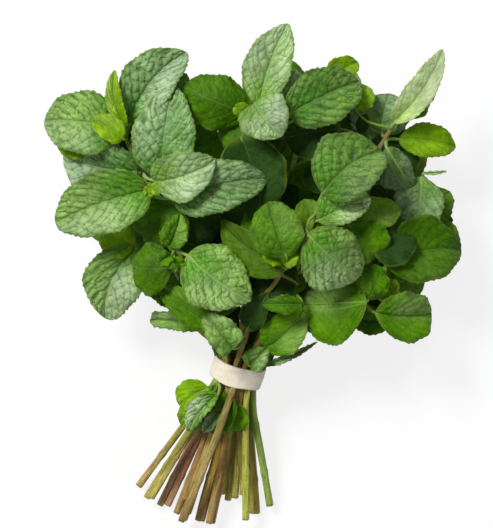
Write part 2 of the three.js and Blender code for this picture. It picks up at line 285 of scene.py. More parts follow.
def read_leaf(node):
    """The measures of a CAD leaf: its stalk, the parabola of its midrib, its half-width and its fold."""
    start, rings, end = rings_between_poles(node)
    if max(ring_radius(ring) for ring in rings[:STALK_RINGS]) > STALK_RADIUS:
        start, rings, end = end, rings[::-1], start
    sections = [blade_section(ring) for ring in rings[STALK_RINGS:]]
    middles = np.array([section[0] for section in sections] + [end])
    stations = np.array(BLADE_STATIONS + (1.0,))
    midrib = np.polyfit(stations, middles, 2)
    _, half, rise, normal = sections[WIDEST_STATION]
    slope = 2 * midrib[0] * stations[WIDEST_STATION] + midrib[1]
    right = unit(half)
    if np.cross(right, slope) @ normal < 0:
        right = -right
    share = outline(stations[WIDEST_STATION])
    stalk = [start] + [ring.mean(0) for ring in rings[1:STALK_RINGS]]
    return {"stalk": np.array(stalk), "midrib": midrib, "right": right,
            "open": np.linalg.norm(half) / share, "rise": rise / share}


def read_stem(node):
    """The centre line of a CAD stem from its cut end, and the radius at each of its points."""
    start, rings, end = rings_between_poles(node)
    if start[1] > end[1]:
        rings = rings[::-1]
    return np.array([ring.mean(0) for ring in rings]), np.array([ring_radius(ring) for ring in rings])


def run_along(line):
    """How far along a line each of its points is."""
    return np.concatenate([[0], np.cumsum(np.linalg.norm(np.diff(line, axis=0), axis=1))])


def smooth_line(points, count, steps=12):
    """A smooth line through points, as evenly spaced points."""
    padded = np.vstack([2 * points[0] - points[1], points, 2 * points[-1] - points[-2]])
    t = np.linspace(0, 1, steps, endpoint=False)[:, None]
    line = []
    for a, b, c, d in zip(padded, padded[1:], padded[2:], padded[3:]):
        line.append(0.5 * (2 * b + (c - a) * t + (2 * a - 5 * b + 4 * c - d) * t ** 2
                           + (3 * b - a - 3 * c + d) * t ** 3))
    line = np.vstack(line + [points[-1:]])
    run = run_along(line)
    even = np.linspace(0, run[-1], count)
    return np.stack([np.interp(even, run, line[:, k]) for k in range(3)], axis=1)


# ---------------------------------------------------------------- tubes

def sides_along(path, first_side):
    """Directions across a path that turn with it and never twist."""
    tangents = unit(np.gradient(path, axis=0))
    side = np.array(first_side, float)
    sides = []
    for tangent in tangents:
        side = unit(side - (side @ tangent) * tangent)
        sides.append(side)
    sides = np.array(sides)
    return sides, np.cross(tangents, sides)


def ring_faces(rings, count, closed=False):
    """The faces between rings of points."""
    faces = []
    for ring in range(rings if closed else rings - 1):
        here, beyond = ring * count, ((ring + 1) % rings) * count
        for k in range(count):
            nxt = (k + 1) % count
            faces.append((here + k, here + nxt, beyond + nxt, beyond + k))
    return faces


def tube(path, reach, first_side):
    """A closed tube along a path, with a reach for each ring and each direction round it."""
    side, up = sides_along(path, first_side)
    count = reach.shape[1]
    angles = np.arange(count) * 2 * math.pi / count
    across = np.cos(angles)[None, :, None] * side[:, None] + np.sin(angles)[None, :, None] * up[:, None]
    points = path[:, None] + reach[..., None] * across
    faces = ring_faces(len(path), count)
    first, last = points.shape[0] * count, points.shape[0] * count + 1
    top = first - count
    for k in range(count):
        nxt = (k + 1) % count
        faces.append((first, nxt, k))
        faces.append((last, top + k, top + nxt))
    return np.vstack([points.reshape(-1, 3), path[:1], path[-1:]]), faces


# ---------------------------------------------------------------- leaves

# The looks of leaves. The colours are, in order: the upper side in its veins, darker as painted shade in
# the sunken veins; the upper side on its pillows, paler as painted highlight; flush, where the skin is thin
# and full of colour; a pale painted sheen for the half that faces the light; the line of a vein, dark on
# quilted leaves as painted shade in the sunken veins and pale on smooth ones as their own colour; and the
# under side. line is how strong the vein lines are, and the rest scale the form.
LOOK_KEYS = ("groove", "raised", "flush", "frost", "vein", "under",
             "line", "quilt", "dome", "ruffle", "curl", "teeth")
LOOK_ROWS = {
    "quilted": ("#3d6e06", "#98c25c", "#5ea004", "#c8deac", "#2e5a04", "#93b070",
                0.5, 1.15, 1.4, 0.9, 1, 1),
    "rich": ("#2a5802", "#76a832", "#4e9000", "#a8c682", "#204802", "#86a85c", 0.48, 1.15, 1.4, 0.9, 1, 1),
    "blue": ("#33640f", "#96c076", "#54900e", "#c8deb6", "#28520c", "#8cab80",
             0.52, 1.2, 1.4, 0.5, 0.8, 0.9),
    "pale": ("#709e42", "#b8d894", "#8cbe46", "#d4e6c2", "#5a8a32", "#b8d296",
             0.52, 0.85, 1.2, 0.5, 0.8, 0.8),
    "grey": ("#446628", "#84a46c", "#56801e", "#a4bc94", "#3c5c26", "#84a070",
             0.5, 0.5, 1.2, 0.5, 0.8, 0.8),
    "deep": ("#274e00", "#528a00", "#407600", "#7ea250", "#74a024", "#7f9c50",
             0.34, 0.65, 1.4, 1, 1.3, 0.7),
    "smooth": ("#336400", "#629a00", "#4e8800", "#9cc068", "#8cb43c", "#8aa858",
               0.34, 0.55, 1.4, 1, 1.5, 0.7),
    # bright: a light yellow-green, partly the leaf's own and partly painted light, the glow of a leaf lit
    # through from behind.
    "bright": ("#6c9e00", "#96c800", "#86b800", "#b4d45c", "#acd04c", "#9cc43c",
               0.45, 0.5, 1, 0.7, 0.8, 0.7),
    "young": ("#84b410", "#b4dc38", "#94c800", "#cce488", "#8cba20", "#acd050",
              0.3, 0.6, 0.9, 0.4, 0.6, 0.6),
    # A dark look for leaves that lie under others: painted shade.
    "shaded_dark": ("#1a340c", "#33561c", "#284a0c", "#4e6c3c", "#426428", "#48662c",
             0.25, 0.3, 1.2, 0.6, 0.8, 0.7),
    "olive": ("#3a5c06", "#68941a", "#5a8800", "#98b464", "#8cac44", "#86a050",
              0.25, 0.35, 1.3, 0.5, 0.6, 0.6),
}
LOOKS = {name: dict(zip(LOOK_KEYS, row)) for name, row in LOOK_ROWS.items()}
LOOKS["backlit"] = dict(LOOKS["pale"], groove="#a8c878", raised="#cce0a8", flush="#c0dc74", frost="#dce8c8",
                        vein="#86a858", quilt=0.4)
LOOKS["curly"] = dict(LOOKS["quilted"], ruffle=2.4, quilt=0.8, vein="#b0cc78", line=0.4, frost="#c4d8a0")
LOOKS["crisp"] = dict(LOOKS["smooth"], quilt=1.0, ruffle=0.8, raised="#6ca61c", vein="#a0c460", line=0.3)
WAXY = ("quilted", "rich", "blue", "pale", "grey", "curly")
FRESH = ("bright", "young")

# The look of each CAD leaf, how far it is folded against its CAD blade, how light it is, partly its own
# tone and partly painted light for a leaf in light or shade, and how much pale painted sheen it has.
# Above 0 the half to the right of the midrib has the painted sheen, seen towards the tip, and below 0 the
# left.
LEAF_LOOKS = {
    "leaf_01": ("grey", 1.2, 1.0, 0.4), "leaf_02": ("smooth", 1.2, 0.95, 0.2),
    "leaf_03": ("grey", 1.0, 1.5, 0.3), "leaf_04": ("deep", 1.7, 0.82, 0.3),
    "leaf_05": ("bright", 1.3, 0.95, 0.1), "leaf_06": ("backlit", 1.3, 1.0, 0.4),
    "leaf_07": ("grey", 1.0, 0.85, 0.1), "leaf_08": ("deep", 1.5, 1.1, 0.2),
    "leaf_09": ("smooth", 1.9, 0.95, -0.8), "leaf_10": ("smooth", 1.6, 1.02, 0.8),
    "leaf_11": ("quilted", 1.6, 1.05, -0.8), "leaf_12": ("curly", 1.8, 1.0, 0.25),
    "leaf_13": ("smooth", 1.6, 0.9, 0.2), "leaf_14": ("curly", 1.7, 1.0, 0.15),
    "leaf_15": ("smooth", 1.7, 1.15, 0.6), "leaf_16": ("blue", 1.6, 0.95, -0.7),
    "leaf_17": ("quilted", 1.6, 0.95, -0.3), "leaf_18": ("blue", 1.3, 1.1, 0.6),
    "leaf_19": ("young", 1.0, 1.05, -0.4), "leaf_20": ("deep", 1.4, 0.92, 0.1),
    "leaf_21": ("pale", 1.3, 0.95, -0.3), "leaf_22": ("rich", 1.5, 0.95, 0.15),
    "leaf_23": ("pale", 1.6, 0.8, -0.5), "leaf_24": ("blue", 1.5, 1.16, -0.35),
    "leaf_25": ("olive", 1.3, 0.8, 0.1), "leaf_26": ("blue", 1.5, 0.88, -0.2),
    "leaf_27": ("quilted", 1.5, 1.0, -0.35), "leaf_28": ("pale", 1.7, 0.92, 0.4),
    "leaf_29": ("smooth", 1.3, 0.74, 0.1), "leaf_30": ("crisp", 1.3, 1.1, 0.5),
    "leaf_31": ("quilted", 1.4, 1.12, 0.25), "leaf_32": ("olive", 1.4, 1.2, 0.5),
    "leaf_33": ("quilted", 1.3, 1.15, 0.6), "leaf_34": ("rich", 1.1, 0.97, 0.3),
    "leaf_35": ("quilted", 1.4, 0.98, 0.5), "leaf_36": ("crisp", 1.4, 0.85, 0.3),
    "leaf_37": ("deep", 1.4, 0.9, 0.1), "leaf_38": ("bright", 1.3, 1.3, 0.1),
    "leaf_39": ("quilted", 1.1, 1.0, 0.9),
}
PLAIN_LEAF = ("deep", 1.3, 1.0, 0.2)

# How some leaves differ from their CAD blade: how broad, how long and how bowed they are against it, how
# far they are turned about their midrib, in degrees, with the half on the right lifted where it is above
# 0, and how far they bend to the right, as a share of their length.
FITTED = {
    "leaf_04": (1.02, 1.1, 0.7, 0, -0.05), "leaf_05": (0.88, 1.12, 1, 0, -0.04),
    "leaf_06": (0.66, 1, 1, 50, 0.03), "leaf_07": (0.85, 1.05, 1, 0, 0.12),
    "leaf_09": (1.15, 1, 0.4, 0, 0.05), "leaf_10": (1.15, 1.02, 0.8, -8, -0.08),
    "leaf_11": (1.05, 1, 1, 0, 0.11), "leaf_12": (0.9, 1.12, 1, 0, 0.05), "leaf_13": (0.75, 1.1, 1, 0, 0),
    "leaf_15": (1.12, 1.06, 1, 0, 0.06), "leaf_16": (1.14, 1, 1, 0, -0.03),
    "leaf_17": (1.06, 1.02, 1, 0, 0.03), "leaf_18": (1.02, 1, 1, 20, -0.13),
    "leaf_19": (0.75, 1, 1, 0, -0.1), "leaf_20": (1.06, 1, 1, 0, -0.03), "leaf_21": (0.95, 1, 1, 0, -0.045),
    "leaf_24": (1, 0.9, 1, 0, -0.04), "leaf_31": (1.06, 1, 1, 0, 0.04), "leaf_34": (1.1, 1.04, 1, 0, -0.06),
    "leaf_39": (0.85, 1, 1, -30, 0.05),
}


def leaf_form(look, seed, fold=1.3, light=1.0, painted_sheen_share=0.2):
    """The form of one leaf: its look, and the small differences that every leaf has."""
    rng = np.random.default_rng(seed)
    form = dict(LOOKS[look], seed=seed, fold=fold, painted_sheen_share=painted_sheen_share)
    # Lighter or darker overall: partly the leaf's own tone and partly painted light.
    form["light"] = light * rng.uniform(0.95, 1.05)
    for key, (low, high) in LEAF_RANGES.items():
        form[key] = rng.uniform(low, high)
    form["sway"] *= rng.choice([-1, 1])
    return form


def midrib_at(blade, s):
    a, b, c = blade["midrib"]
    s = np.asarray(s)[..., None]
    return a * s * s + b * s + c


def normal_at(blade, s):
    a, b, _ = blade["midrib"]
    slope = 2 * a * np.asarray(s)[..., None] + b
    return unit(np.cross(blade["right"], slope))


def blade_length(blade):
    return float(np.linalg.norm(blade["midrib"][0] + blade["midrib"][1]))


def fitted(blade, node):
    """The measures of a CAD leaf, changed as FITTED says."""
    broad, long, bow, turn, bend = FITTED.get(node, (1.0, 1.0, 1.0, 0, None))
    a, b, foot = blade["midrib"]
    a, b = a * bow, b + a * (1 - bow)
    lifted = np.cross(blade["right"], unit(a + b))
    right = math.cos(math.radians(turn)) * blade["right"] + math.sin(math.radians(turn)) * lifted
    midrib = np.array([a * long ** 2, b * long, foot])
    return dict(blade, midrib=midrib, right=unit(right), open=blade["open"] * broad, bend=bend)


def vein_phase(s, t, blade, form):
    """Where a place lies between the side veins: a whole number on a vein, and a half midway between."""
    shift = np.where(t < 0, form["shift"], 0.0)
    sweep = s + 0.02 - VEIN_SWEEP * np.abs(t) ** VEIN_CURVE
    waver = 0.16 * np.sin(9 * sweep + 4 * t + form["phase"]) + 0.07 * np.sin(23 * sweep - 11 * t)
    return sweep * round(blade_length(blade) / VEIN_PITCH) + shift + waver


def cells(x, y, seed):
    """0 on the border of a cell of a loose net, and 1 well inside it."""
    best, second = np.full(x.shape, 9.0), np.full(x.shape, 9.0)
    for dx in (-1, 0, 1):
        for dy in (-1, 0, 1):
            cx, cy = np.floor(x) + dx, np.floor(y) + dy
            px = cx + (np.sin(cx * 12.99 + cy * 78.23 + seed) * 43758.55) % 1
            py = cy + (np.sin(cx * 39.35 + cy * 11.14 + seed) * 24634.63) % 1
            distance = np.hypot(px - x, py - y)
            second = np.minimum(second, np.maximum(best, distance))
            best = np.minimum(best, distance)
    return np.clip((second - best) / 0.55, 0, 1)


def vein_net(s, across, blade, form):
    """0 on a small vein of the net between the side veins, and 1 well between them."""
    along = s * blade_length(blade) - 0.5 * np.abs(across)
    bend = 0.35 * np.sin(across * 0.9 + along * 0.7 + form["phase"])
    return cells(along / CELL_PITCH + bend, across / CELL_PITCH + 0.5 * bend, form["seed"])


def quilting(s, t, across, blade, form):
    """The height of the upper side between 0 in the veins and 1 on the pillows."""
    strip = np.abs(np.sin(math.pi * vein_phase(s, t, blade, form))) ** 0.5
    pillow = np.sin(math.pi / 2 * vein_net(s, across, blade, form)) ** 0.8
    beside_midrib = 1 - np.exp(-(across / MIDRIB_GROOVE) ** 2)
    calm = (1 - np.abs(t) ** 8) * step(0, 0.1, s) * step(1, 0.92, s)
    return (0.3 + 0.7 * strip) * (0.25 + 0.75 * pillow) * beside_midrib * calm


def teeth(s, t, blade, form):
    """How far the toothed edge stands out, in millimetres. Each tooth leans towards the tip."""
    count = round(blade_length(blade) / TOOTH_PITCH)
    place = (s * count + np.where(t < 0, form["shift"], 0.0)) % 1
    tooth = place * step(1, 0.75, place) - 0.3
    worn = 0.65 + 0.35 * np.sin(s * 31 + form["phase"] + 2 * t)
    height = TOOTH_HEIGHT * form["teeth"] * worn * tooth
    return height * step(0.05, 0.2, s) * step(1, 0.94, s) * np.abs(t) ** 8


def blade_grid(blade, form, rows, columns):
    """The middle surface of a blade as a grid of points, with the place of each along and across it."""
    s, t = np.meshgrid(np.linspace(0, 1, rows + 1), np.linspace(-1, 1, columns + 1), indexing="ij")
    share = outline(s, form["shoulder"], form["blunt"])
    ripple = np.sin(2 * math.pi * form["ripples"] * s + form["phase"] + 1.3 * (t < 0))
    wide = 1 + form["uneven"] * np.sign(t) + 0.025 * ripple
    half = np.maximum(blade["open"] * share, blend(*LEAST_HALF, s))
    across = half * wide * t + np.sign(t) * teeth(s, t, blade, form)
    rise = blade["rise"] * form["fold"] * share * (form["dome"] * np.abs(t) + (1 - form["dome"]) * t * t)
    rise += form["ruffle"] * share * ripple * np.abs(t) ** 3
    rise += form["twist"] * half * t * (s - 0.4)
    rise -= form["curl"] * step(0.6, 1, s) ** 2 * TIP_CURL
    right, normal = blade["right"], normal_at(blade, s)
    bend = form["sway"] if blade.get("bend") is None else blade["bend"]
    aside = across + bend * blade_length(blade) * 4 * s * (1 - s)
    points = midrib_at(blade, s) + aside[..., None] * right + rise[..., None] * normal
    return points, s, t, across


def grid_normals(points):
    return unit(np.cross(np.gradient(points, axis=1), np.gradient(points, axis=0)))


def grid_quads(index):
    """The faces of a grid, from the numbers of its points."""
    corners = (index[:-1, :-1], index[:-1, 1:], index[1:, 1:], index[1:, :-1])
    return np.stack(corners, axis=-1).reshape(-1, 4).tolist()


def shell_faces(rows, columns):
    """The faces of a thin closed shell: an upper grid, an under grid, and the wall round their edges."""
    upper = np.arange((rows + 1) * (columns + 1)).reshape(rows + 1, columns + 1)
    faces = [tuple(quad) for quad in grid_quads(upper)]
    faces += [tuple(reversed([i + upper.size for i in quad])) for quad in faces]
    rim = np.concatenate([upper[0, :-1], upper[:-1, -1], upper[-1, :0:-1], upper[:0:-1, 0]]).tolist()
    for k, a in enumerate(rim):
        b = rim[(k + 1) % len(rim)]
        faces.append((b, a, a + upper.size, b + upper.size))
    return faces


def clouds(s, t, form):
    """Soft patches over a blade, from 0 to 1."""
    p = form["phase"]
    wide = np.sin(5.1 * s + 2.3 * t + p) + np.sin(3.2 * s - 4.1 * t + 2 * p)
    return 0.5 + (wide + 0.6 * np.sin(11 * s + 6 * t + 3 * p)) / 5.2


def upper_tint(s, t, across, height, form):
    """The colour of the upper side: flushed near the midrib, with a pale painted sheen on one half, and
    darker in the veins than on the pillows as painted shade and painted highlight.
    """
    low, high, flush, frost = (srgb(form[key]) for key in ("groove", "raised", "flush", "frost"))
    cloud = clouds(s, t, form)
    # The pale painted sheen lies on one half of the blade, the one that faces the light.
    side = 0.5 + 0.5 * np.tanh(3 * t) * np.sign(form["painted_sheen_share"])
    painted_sheen_share = abs(form["painted_sheen_share"]) * side * step(0.1, 0.45, s) * (0.55 + 0.7 * cloud)
    flushed = step(0.62, 0.1, s + 0.35 * np.abs(t) - 0.25 * cloud) + 0.4 * step(0.5, 0.8, cloud)
    high = blend(high, flush, np.clip(0.9 * flushed * (1 - painted_sheen_share), 0, 1)[..., None])
    high = blend(high, frost, np.clip(painted_sheen_share, 0, 1)[..., None])
    low = blend(low, frost, np.clip(0.35 * painted_sheen_share, 0, 1)[..., None])
    low = blend(low, high, 0.7 * np.exp(-(across / 1.1) ** 2)[..., None])
    # Darker in the veins and paler on the pillows: painted shade and painted highlight.
    return blend(low, high, step(0.0, 0.65, height)[..., None])


def blade_colours(s, t, across, height, form, upper):
    """The tint of one side of a blade, and the colour and strength of its vein lines."""
    if upper:
        tint = upper_tint(s, t, across, height, form)
    else:
        tint = blend(srgb(form["under"]), srgb(form["raised"]), 0.25 * (1 - height)[..., None])
    # Yellow-green at the foot of the blade, the young leaf's own colour, and paler along its edge, a
    # painted highlight where the teeth catch the light.
    young_foot_and_lit_edge = 0.3 * step(0.12, 0, s) + 0.35 * step(0.9, 1, np.abs(t))
    tint = blend(tint, srgb(YOUNG_FOOT_AND_LIT_EDGE), young_foot_and_lit_edge[..., None]) * form["light"]
    # Soft patches, lighter and darker: painted shade standing in for the shade of folds.
    tint = tint * blend(0.78, 1.12, clouds(1.3 * s + 0.4, 0.7 * t, form))[..., None]
    # Dark vein lines are painted shade in the sunken veins; pale ones are the veins' own colour.
    vein = srgb(form["vein"] if upper else UNDER_VEIN) * form["light"]
    midrib = blend(srgb(form["raised"]), srgb(MIDRIB_PALE), 0.5) * form["light"]
    vein = blend(vein, midrib, np.exp(-(across / 0.7) ** 4)[..., None])
    line = np.full(s.shape, form["line"] if upper else 0.5) * (1 - 0.4 * np.abs(t) ** 2)
    rgba = np.concatenate([tint, np.ones(s.shape + (1,))], axis=-1)
    lines = np.concatenate([vein, line[..., None]], axis=-1)
    return rgba.reshape(-1, 4), lines.reshape(-1, 4)


def blade_part(blade, form, detail):
    """The blade of a leaf as a thin closed shell with its veins, pillows and teeth."""
    rows, columns = detail
    points, s, t, across = blade_grid(blade, form, rows, columns)
    normals = grid_normals(points)
    height = quilting(s, t, across, blade, form)
    swell = (QUILT_HEIGHT * form["quilt"] * height)[..., None] * normals
    half = (THICKNESS / 2 * (1 - 0.5 * np.abs(t) ** 8))[..., None] * normals
    along = s * blade_length(blade) + form["seed"] * 13.7
    phase = vein_phase(s, t, blade, form)
    rib = np.stack([phase, across, vein_net(s, across, blade, form)], axis=-1).reshape(-1, 3)
    sheets, tints, lines, spots = [], [], [], []
    for upper, share, side in ((1, 1, 1), (0, UNDER_QUILT, -1)):
        sheets.append((points + swell * share + half * side).reshape(-1, 3))
        tint, line = blade_colours(s, t, across, height, form, upper)
        tints.append(tint)
        lines.append(line)
        spots.append(np.stack([along, across, np.full(s.shape, 9.0 * upper)], axis=-1).reshape(-1, 3))
    data = {"tint": np.vstack(tints), "vein": np.vstack(lines), "ribs": np.vstack([rib, rib]),
            "spot": np.vstack(spots)}
    return {"points": np.vstack(sheets), "faces": shell_faces(rows, columns), "data": data}


def stalk_part(blade, form, rings=14, sides=8):
    """The stalk of a leaf, from inside its stem to the foot of the blade, and on as the rib beneath it."""
    stalk = blade["stalk"]
    sunk = stalk[0] - STALK_SINK * unit(stalk[1] - stalk[0])
    s = np.array([0.0, 0.12, 0.3, 0.5, 0.7, 0.86])
    depth = np.array([0.15, 0.4, 0.42, 0.36, 0.3, 0.2])
    beneath = midrib_at(blade, s) - normal_at(blade, s) * depth[:, None]
    path = smooth_line(np.vstack([sunk, stalk, beneath]), rings)
    place = np.linspace(0, 1, rings)
    radius = np.interp(place, [0, 0.12, 0.4, 1], [0.95, 0.75, 0.55, 0.1])
    points, faces = tube(path, np.repeat(radius[:, None], sides, axis=1), blade["right"])
    count = len(points)
    tint = np.tile(np.append(blend(srgb(STALK_GREEN), srgb(form["raised"]), 0.3), 1.0), (count, 1))
    data = {"tint": tint, "vein": np.tile([0.3, 0.4, 0.1, 0.0], (count, 1)),
            "ribs": np.tile([0.5, 9.0, 1.0], (count, 1)), "spot": points + form["seed"]}
    return {"points": points, "faces": faces, "data": data}


def whole_leaf(blade, look, seed, detail, fold=1.3, light=1.0, painted_sheen_share=0.2):
    """One leaf with its stalk as a mesh."""
    form = leaf_form(look, seed, fold, light, painted_sheen_share)
    return join([blade_part(blade, form, detail), stalk_part(blade, form)])


# ---------------------------------------------------------------- stems

# The colours of each stem, by its number, from its cut end to its shoot.
STEM_COLOURS = {
    1: ("#b49a58", "#988e3c", "#86a236"), 2: ("#a88a50", "#9a7038", "#86a038"),
    3: ("#b89468", "#966648", "#84a03a"), 4: ("#bcae56", "#a09644", "#8cac38"),
    5: ("#947440", "#b49c58", "#8c7c38"), 6: ("#ac9244", "#a4923c", "#84a03a"),
    7: ("#9c8040", "#ac9440", "#86a236"), 8: ("#b4ac4c", "#9c943e", "#7c6c2e"),
    9: ("#b09050", "#9c7838", "#8cac38"), 10: ("#b2be4c", "#b8b44a", "#8cac3a"),
    11: ("#ac9a40", "#988c38", "#84a03a"), 12: ("#98b04c", "#7c9c36", "#84a236"),
    13: ("#aca648", "#9c9034", "#84a03a"),
}


def stem_reach(run, radii, sides, seed):
    """The reach of a square stem's skin round each ring: rounded corners, joints and faint ridges."""
    rng = np.random.default_rng(seed)
    angles = np.arange(sides) * 2 * math.pi / sides
    square = 0.92 - 0.08 * np.cos(4 * angles)
    radius = np.interp(np.linspace(0, 1, len(run)), np.linspace(0, 1, len(radii)), radii)
    joint = np.arange(rng.uniform(14, 24), run[-1], NODE_PITCH)
    swelling = sum(np.exp(-((run - j) / NODE_LENGTH) ** 2) for j in joint)
    ridges = 0.03 * np.cos(11 * angles + rng.uniform(0, 6))[None, :]
    waver = 0.04 * np.sin(run[:, None] / 5.3 + angles[None, :] * 2 + rng.uniform(0, 6))
    return radius[:, None] * (square[None, :] + NODE_SWELLING * swelling[:, None] + ridges + waver)


def cut_end(path, reach):
    """The first rings of a stem drawn in to its centre: a flat cut with a slightly sunken pith."""
    heading = unit(path[1] - path[0])
    inner = np.array([path[0] + heading * depth for _, depth, _ in CUT_RINGS])
    return np.vstack([inner, path]), np.vstack([[reach[0] * share for share, _, _ in CUT_RINGS], reach])


def stem_part(centre, radii, colours, seed, sides=20):
    """A whole stem with its cut end, and the colour of each point."""
    line = smooth_line(centre, LINE_POINTS)
    run = run_along(line)
    reach = stem_reach(run, radii, sides, seed)
    path, reach = cut_end(line, reach)
    points, faces = tube(path, reach, [1, 0, 0.3])
    low, middle, high = (srgb(code) for code in colours)
    at_cut = [0] * len(CUT_RINGS)
    share = np.concatenate([at_cut, run / run[-1]])[:, None]
    tint = blend(blend(low, middle, step(0.03, 0.25, share)), high, step(0.4, 0.75, share))
    paleness = np.concatenate([[pale for _, _, pale in CUT_RINGS], np.zeros(len(run))])
    tint = blend(tint, srgb(CUT_PITH), paleness[:, None])
    tint = np.repeat(tint, sides, axis=0)
    tint = np.vstack([tint, srgb(PITH_HEART), high])
    rounds = np.append(np.tile(np.arange(sides) / sides * 11.0, len(path)), [0, 0])
    lengthwise = np.append(np.repeat(np.append(at_cut, run), sides), [0, 0])
    fibre = np.stack([rounds, lengthwise, np.full(len(points), seed * 7.0)], axis=1)
    data = {"tint": np.hstack([tint, np.ones((len(points), 1))]), "fibre": fibre}
    return {"points": points, "faces": faces, "data": data}


# ---------------------------------------------------------------- the band

def band_measures():
    """The middle of the band, its three directions and how far it reaches along each."""
    points, _ = welded("band")
    middle = points.mean(0)
    _, _, axes = np.linalg.svd(points - middle)
    for k, like in enumerate(([1, 0, 0], [0, 0, 1], [0, 1, 0])):
        if axes[k] @ like < 0:
            axes[k] = -axes[k]
    reach = np.abs((points - middle) @ axes.T).max(0)
    return middle, axes, reach


def band_part(steps=200):
    """A flat elastic band, drawn tight, with rounded edges and shallow creases."""
    middle, (across, up, along), (wide, deep, half) = band_measures()
    angle = np.arange(steps) * 2 * math.pi / steps
    edge = [(1, 0.0), (1.0, 0.35), (0.985, 0.75), (0.95, 0.95)]
    profile = [(-x, y) for x, y in edge] + [(x, 1.0) for x in np.linspace(-0.85, 0.85, 11)]
    profile += edge[::-1] + [(x, 0.0) for x in np.linspace(0.7, -0.7, 4)]
    side, outer = np.array(profile).T
    a, side, outer = angle[:, None], side[None, :], outer[None, :]
    crease = 0.16 * np.sin(3 * a + 2.4 * side) + 0.1 * np.sin(7 * a - 3.1 * side + 1)
    pulled = 0.22 * np.sin(2 * a + 0.7) + 0.12 * np.sin(5 * a + 2)
    fold = 0.28 * np.exp(-((side - 0.25 - 0.5 * np.sin(a * 1.5 + 0.4)) / 0.12) ** 2)
    out = (outer - 1) * BAND_THICKNESS + (crease - fold) * step(0.5, 1, outer) * 0.8
    shift = side * (half + 0.3 + 0.12 * np.sin(4 * a + 1.1)) + pulled
    points = (middle + ((wide + out - BAND_INSET) * np.cos(a))[..., None] * across
              + ((deep + out - BAND_INSET) * np.sin(a))[..., None] * up + shift[..., None] * along)
    count = side.shape[1]
    faces = ring_faces(steps, count, closed=True)
    lengthwise = np.broadcast_to(a * 11, (steps, count))
    weave = np.stack([lengthwise, side * half + 0 * a, outer + 0 * a], axis=-1).reshape(-1, 3)
    tint = np.tile(np.append(srgb(BAND_CREAM), 1.0), (steps * count, 1))
    return {"points": points.reshape(-1, 3), "faces": faces, "data": {"tint": tint, "weave": weave}}


# Short stems that end under the band: the stem that each lies along, how far beside it and above it at the
# cut end, the same at the band, and how much shorter it is.
SHORT_STEMS = [
    (5, (1, 4.5), (2.5, 13), 0.02), (2, (2.5, 1), (3, 5), 0.1), (13, (-3, 2), (-2, 5), 0.05),
    (8, (3.5, 1.5), (-1, 4), 0.04), (3, (3.5, 1), (2, 3), 0), (4, (-2, -1.5), (-1, 1.5), 0),
    (5, (1.6, -2.5), (1, -1.5), 0.05), (7, (-1.6, -2), (-0.5, -1), 0), (9, (1.3, -2.5), (1, -1), 0),
    (11, (1.6, 1.2), (0.8, 0.5), 0),
]


def short_stem_path(lines, row):
    """The centre line of a short stem from its cut end to where the band holds it."""
    stem, at_end, at_band, shorter = row
    middle, _, (_, deep, _) = band_measures()
    line = lines[stem][lines[stem][:, 1] < middle[1]]
    line = line[round(shorter * len(line)):]
    s = np.linspace(0, 1, len(line))
    rising = step(0, 0.7, s)
    path = line.copy()
    path[:, 0] += blend(at_end[0], at_band[0], rising)
    path[:, 2] += blend(at_end[1], at_band[1], rising)
    roof = middle[2] + deep - UNDER_BAND
    path[:, 2] = blend(path[:, 2], np.minimum(path[:, 2], roof), step(0.72, 0.88, s))
    return path[::4]


# ---------------------------------------------------------------- leaves that the frame does not hold

def grown_blade(stem_point, foot, reach, width, arch, fold, level):
    """The measures of a leaf from its place on a stem, its foot, the reach of its blade and its own up."""
    length = np.linalg.norm(reach)
    ahead = reach / length
    right = unit(np.cross(ahead, level))
    up = np.cross(right, ahead)
    bow = 4 * arch * length * up
    half = width / 2
    lead = 0.25 * np.linalg.norm(foot - stem_point) * ahead
    start = stem_point + STALK_START * unit(foot - stem_point)
    stalk = np.array([start, blend(stem_point, foot, 0.6) - 0.5 * lead])
    return {"stalk": stalk, "midrib": np.array([-bow, reach + bow, foot]), "right": right,
            "open": half * math.cos(math.radians(fold)), "rise": half * math.sin(math.radians(fold))}
